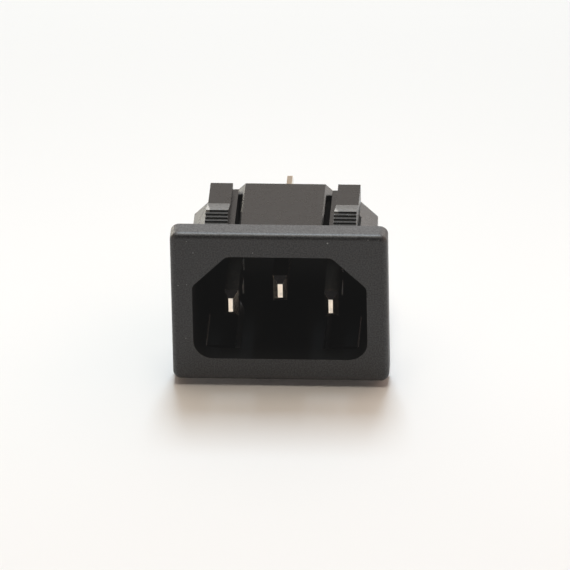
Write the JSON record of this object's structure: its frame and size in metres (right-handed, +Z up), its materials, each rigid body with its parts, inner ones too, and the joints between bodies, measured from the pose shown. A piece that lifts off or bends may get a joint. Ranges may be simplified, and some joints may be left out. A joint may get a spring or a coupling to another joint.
{
  "type": "c14 panel inlet socket",
  "caption": "Snap-in panel power inlet with a keyed plug recess, flat blade pins, serrated snap arms and rear push-on tabs.",
  "frame": {"origin": "centre of the panel opening, in the plane where the flange's rear face meets the panel", "axes": "+X to the right seen from the front, +Y into the panel along the plug's travel, +Z up"},
  "size_m": [0.0304, 0.0291, 0.0234],
  "materials": {
    "housing_plastic": "black thermoplastic, fine spark texture on the flange, smoother body",
    "contact_metal": "brass with a bright nickel plating"
  },
  "bodies": {
    "root": {"housing": "housing_plastic", "line_contact": "contact_metal", "neutral_contact": "contact_metal", "earth_contact": "contact_metal"}
  },
  "joints": []
}
